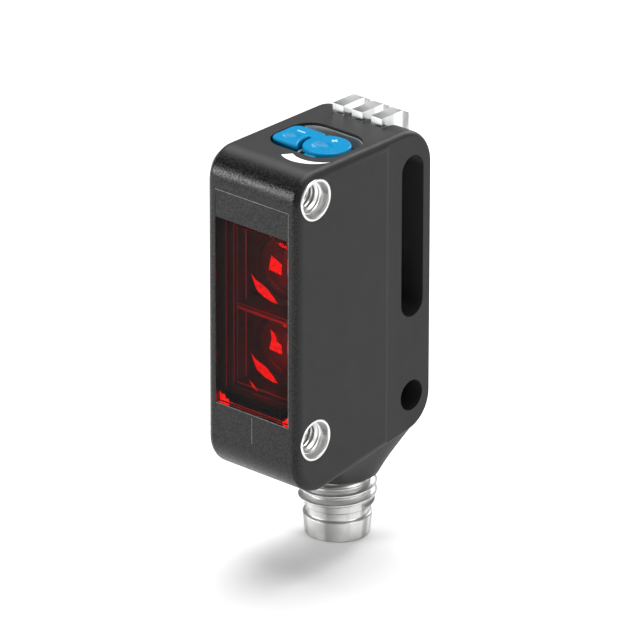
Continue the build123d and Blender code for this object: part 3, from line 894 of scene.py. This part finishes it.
bay_low, bay_high = places("optics_carrier")
OUTER_STEP = 0.5
INNER_STEP = 1.0
ENDS_IN = 0.8
DIVIDER_DOWN = 0.63
FRONT_AHEAD = 0.06
SEAL_RIM = 0.57
left_outer = bay_low.x + OUTER_STEP
left_inner = bay_low.x + INNER_STEP
right_inner = bay_high.x - INNER_STEP
divider = (bay_low.z + bay_high.z) / 2 - DIVIDER_DOWN
front = bay_low.y + OUTER_STEP - FRONT_AHEAD
opening_left = places("window_seal")[0].x + SEAL_RIM
edge_low, edge_high = bay_low.z + ENDS_IN, bay_high.z - ENDS_IN
upright("opening_edge_light", opening_left, 0, window_high.y + 0.12, 0.08)
upright("outer_edge_light", left_outer + 0.03, 0, front + 0.02, 0.06)
upright("inner_edge_light", left_inner, 0.4, front, 0.04)
upright("bay_edge_light", left_inner + 0.05, 0.4, front + 1.2, 0.13)
level_line("divider_top_light", left_inner, right_inner, divider + 0.25, front, 0.05)
level_line("divider_low_light", left_inner, right_inner, divider - 0.20, front, 0.26)
level_line("floor_edge_light", left_inner, right_inner, edge_low + 0.15, front, 0.10)
level_line("frame_edge_light", -1.5, 0.9, edge_low - 0.25, bay_low.y - 0.06, 0.14)
foot_z = window_low.z + 0.14
foot_depth = window_high.y - 0.25
level_line("foot_edge_light", window_low.x + 1.2, window_high.x - 0.2, foot_z, foot_depth, 0.08)
print("nine faint lines behind the window")

# %% [markdown]
# ## Indicator bars
#
# Three clear bars carry the light of the indicator lamps up over the rear corner. Their corners are
# softly rounded, which is what shows at their edges.

# %% Light guides
for side in ("left", "middle", "right"):
    softened(f"light_guide_{side}", f"indicator_bar_{side}", 0.10, 3, 35, guide_clear)

# %% [markdown]
# ## Key
#
# The key rocks about its pin, so everything on it rides on the key's own body. Each lobe has a
# shallow dish for a fingertip. The minus and the plus are small raised marks, made of flat bars with
# rounded edges.

# %% The key and its marks
key = softened("rocker_key", "blue_key", 0.04, 2, 35, key_blue, KEY)


def dimple(piece, middle, radius, depth, stretch=1.0):
    """Press a shallow round dish into the key's top, with a boolean cut by a ball."""
    ball_radius = (radius ** 2 + depth ** 2) / (2 * depth)
    bpy.ops.object.select_all(action="DESELECT")
    bpy.ops.mesh.primitive_uv_sphere_add(segments=96, ring_count=64, radius=ball_radius * MM)
    ball = bpy.context.object
    ball.rotation_euler = (math.pi / 2, 0, 0)
    ball.scale = (stretch, 1, 1)
    ball.location = Vector((*middle, key_top + ball_radius - depth)) * MM
    settle(ball)
    modifier(piece, "BOOLEAN", operation="DIFFERENCE", object=ball, solver="EXACT")
    bpy.data.objects.remove(ball)


MINUS_DISH = (-1.75, 5.15)
PLUS_DISH = (2.1, 5.25)
dimple(key, MINUS_DISH, 0.8, 0.26, 1.3)
dimple(key, PLUS_DISH, 0.95, 0.30, 1.25)
only(key)
bpy.ops.mesh.customdata_custom_splitnormals_clear()
wear(key, key_blue, 30)
MARK_WIDTH = 0.20
MARK_HEIGHT = 0.04
MARK_ROUNDING = 0.4 * MARK_HEIGHT
MINUS_AT = (-1.8, 6.55)
MINUS_LENGTH = 1.0
PLUS_AT = (2.17, 6.95)
PLUS_LENGTH = 0.72


def bar(name, middle, length, turn):
    """A thin raised bar that lies on the key's top."""
    bpy.ops.object.select_all(action="DESELECT")
    bpy.ops.mesh.primitive_cube_add(size=1)
    piece = bpy.context.object
    piece.name = name
    piece.scale = (length * MM, MARK_WIDTH * MM, 2 * MARK_HEIGHT * MM)
    piece.rotation_euler = (0, 0, turn)
    piece.location = Vector((*middle, key_top)) * MM
    settle(piece)
    return piece


def key_mark(name, middle, length, turns):
    """One mark on the key, from a bar for each turn; the bars grow together."""
    mark, *others = [bar(name, middle, length, turn) for turn in turns]
    for other in others:
        modifier(mark, "BOOLEAN", operation="UNION", object=other, solver="EXACT")
        bpy.data.objects.remove(other)
    modifier(mark, "BEVEL", width=MARK_ROUNDING * MM, segments=2)
    wear(mark, key_print)
    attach(mark, KEY)


key_mark("minus_mark", MINUS_AT, MINUS_LENGTH, (0,))
key_mark("plus_mark", PLUS_AT, PLUS_LENGTH, (0, math.pi / 2))
print("two dishes and two marks made on the key")

# %% [markdown]
# ## Painted light on the pocket's rear wall
#
# A pale grey lip at the back of the pocket, which shows over the key, is painted light for the lit
# rear wall. It is a narrow strip that follows the pocket's rear wall and its two round corners.

# %% Lip behind the key
WALL_GAP = 0.03
POCKET_CORNER = 2.4 - WALL_GAP
pocket_low, pocket_high = places("key_seal")
pocket_left = pocket_low.x + WALL_GAP
pocket_right = pocket_high.x - WALL_GAP
pocket_rear = pocket_high.y - WALL_GAP
LIP_THICKNESS = 0.08
LIP_BOTTOM = 14.0
LIP_HEIGHT = 1.2
LIP_START = 35
LIP_STEPS = 10


def lip_corner(wall, side, inset):
    """Points round one rear corner of the pocket, from its side wall towards the middle."""
    radius = POCKET_CORNER - inset
    centre_x = wall - side * POCKET_CORNER
    centre_y = pocket_rear - POCKET_CORNER
    points = []
    for step in range(LIP_STEPS + 1):
        angle = math.radians(LIP_START + (90 - LIP_START) * step / LIP_STEPS)
        points.append((centre_x + side * radius * math.cos(angle), centre_y + radius * math.sin(angle)))
    return points


def lip_outline(inset):
    """Points along the rear of the pocket from right to left, moved in from its wall."""
    return lip_corner(pocket_right, 1, inset) + lip_corner(pocket_left, -1, inset)[::-1]


def pocket_lip():
    outline = lip_outline(0) + lip_outline(LIP_THICKNESS)[::-1]
    bpy.ops.object.select_all(action="DESELECT")
    bpy.ops.mesh.primitive_circle_add(vertices=len(outline), radius=MM)
    lip = bpy.context.object
    lip.name = "pocket_lip"
    for point, (x, y) in zip(lip.data.vertices, outline):
        point.co = (x * MM, y * MM, LIP_BOTTOM * MM)
    editing(lip)
    bpy.ops.mesh.fill()
    bpy.ops.mesh.select_all(action="SELECT")
    bpy.ops.mesh.extrude_region_move(TRANSFORM_OT_translate={"value": (0, 0, LIP_HEIGHT * MM)})
    bpy.ops.mesh.select_all(action="SELECT")
    bpy.ops.mesh.normals_make_consistent(inside=False)
    finished_editing()
    wear(lip, painted_wall_light)
    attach(lip, BODY)


pocket_lip()
print("lip made behind the key")

# %% [markdown]
# ## Fine lines on the skin
#
# A fine raised line runs down the lower front, where the two halves of the mould met, and thin
# edges frame the strip over the window and the window's right side. Each is a narrow bead that
# stands a few hundredths of a millimetre proud, coloured pale grey in patches as a painted highlight.

# %% Beads
BEAD = 0.055
BEAD_SUNK = 0.25 * BEAD
BESIDE = 0.03


def bead_highlight_finish():
    finish = Finish("painted_edge_highlight", {})
    # Painted highlight: pale grey patches along the bead, unevenly broken.
    highlight_patches = finish.noise(0.4, 4)
    finish.set({"Base Color": finish.mix(highlight_patches, (0.07, 0.07, 0.07), (0.42, 0.42, 0.42))})
    finish.set({"Roughness": 0.28 + highlight_patches * 0.2})
    finish.bump(highlight_patches, 0.01, 0.4)
    return finish.material


painted_edge_highlight = bead_highlight_finish()


def bead(name, start, end):
    """A thin bead on the front face between two (x, z) points."""
    bpy.ops.object.select_all(action="DESELECT")
    bpy.ops.mesh.primitive_cylinder_add(vertices=12, radius=BEAD / 2 * MM, depth=MM)
    line = bpy.context.object
    line.name = name
    run = Vector((end[0] - start[0], 0, end[1] - start[1]))
    line.scale.z = run.length
    line.rotation_euler = run.to_track_quat("Z", "Y").to_euler()
    middle = Vector(((start[0] + end[0]) / 2, housing_low.y + BEAD_SUNK, (start[1] + end[1]) / 2))
    line.location = middle * MM
    settle(line)
    wear(line, painted_edge_highlight)
    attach(line, BODY)


FOOT_OF_FRONT = 6.8
PARTING_GAP = 0.35
strip_low, strip_high = places("window_frame")
right_x = window_high.x + BESIDE
under_z = window_low.z - BESIDE
bead("parting_bead", (0, housing_low.z + FOOT_OF_FRONT), (0, window_low.z - PARTING_GAP))
bead("strip_bead", (strip_low.x, strip_high.z), (strip_high.x, strip_high.z))
bead("right_bead", (right_x, window_low.z), (right_x, strip_high.z))
bead("lip_bead", (window_low.x, under_z), (window_high.x, under_z))
print("four beads on the front")

# %% [markdown]
# ## Finishes for the pieces that stay as they are
#
# The pieces inside keep their engineering shape and only need a finish. They are listed by name with
# the finish that each one wears.

# %% Dress the remaining nodes
WORN = {
    "window_seal": seal_rubber,
    "key_seal": seal_rubber,
    "connector_seal": seal_rubber,
    "emitter_led": resin_clear,
    "indicator_leds": resin_clear,
    "receiver_sensor": chip_epoxy,
    "controller_chip": chip_epoxy,
    "driver_chip": chip_epoxy,
    "capacitors": ceramic,
    "main_board": board_lacquer,
    "key_board": board_lacquer,
    "connector_board": board_lacquer,
    "board_header": frame_plastic,
    "minus_switch": switch_plastic,
    "plus_switch": switch_plastic,
    "rocker_pin": pin_steel,
    "scale_mark": white_print,
    "connector_insert": insert_plastic,
    "contact_pin_1": contact_gold,
    "contact_pin_2": contact_gold,
    "contact_pin_3": contact_gold,
    "contact_pin_4": contact_gold,
    "link_wires": wire_copper,
}
for name, finish in WORN.items():
    nodes[name].data.materials.clear()
    nodes[name].data.materials.append(finish)
print("dressed", len(WORN), "nodes")

# %% [markdown]
# ## Floor and light
#
# A pale floor runs under the sensor and fills the picture. Most of the light comes from one large
# panel overhead. The surround is a dim grey, so the metals have something dark to mirror, and a
# narrow strip to the left draws the highlight along the rounded top edge of the front.

# %% Floor
FLOOR_SIZE = 6
FLOOR_GAP = 0.02


def floor_finish():
    finish = Finish("pale_floor", {})
    cloud = finish.noise(40, 2)
    finish.set({"Base Color": finish.mix(cloud, (0.90, 0.90, 0.90), (0.92, 0.92, 0.92)), "Roughness": 0.7})
    return finish.material


bpy.ops.object.select_all(action="DESELECT")
bpy.ops.mesh.primitive_plane_add(size=FLOOR_SIZE)
floor = bpy.context.object
floor.name = "floor"
floor.location.z = cad_box[0].z - FLOOR_GAP * MM
settle(floor)
floor.data.materials.append(floor_finish())
print("floor laid")


# %% Lights
def panel(name, azimuth, elevation, distance, size, power, height=None):
    """A soft panel that looks at the sensor from an angle, with its distance and size in metres."""
    light = bpy.data.lights.new(name, "AREA")
    light.size = size
    if height:
        light.shape = "RECTANGLE"
        light.size_y = height
    light.energy = power
    lamp = bpy.data.objects.new(name, light)
    bpy.context.scene.collection.objects.link(lamp)
    back = outward(math.radians(azimuth), math.radians(elevation))
    lamp.location = (cad_box[0] + cad_box[1]) / 2 + back * distance
    lamp.rotation_euler = (-back).to_track_quat("-Z", "Y").to_euler()


def light_tent(strength):
    """An even surround of one brightness."""
    world = bpy.data.worlds.new("tent")
    world.use_nodes = True
    background = world.node_tree.nodes["Background"]
    background.inputs["Color"].default_value = (1, 1, 1, 1)
    background.inputs["Strength"].default_value = strength
    bpy.context.scene.world = world


light_tent(0.24)
panel("overhead_panel", 215, 70, 1.1, 1.0, 17.0)
panel("right_panel", 95, 22, 0.6, 0.25, 1.2)
panel("left_strip", -39, 15, 0.25, 0.14, 0.36, 0.020)
panel("rear_panel", 195, 26, 0.6, 0.2, 0.8)
bpy.context.scene.view_settings.view_transform = "Standard"
print("lights in place")
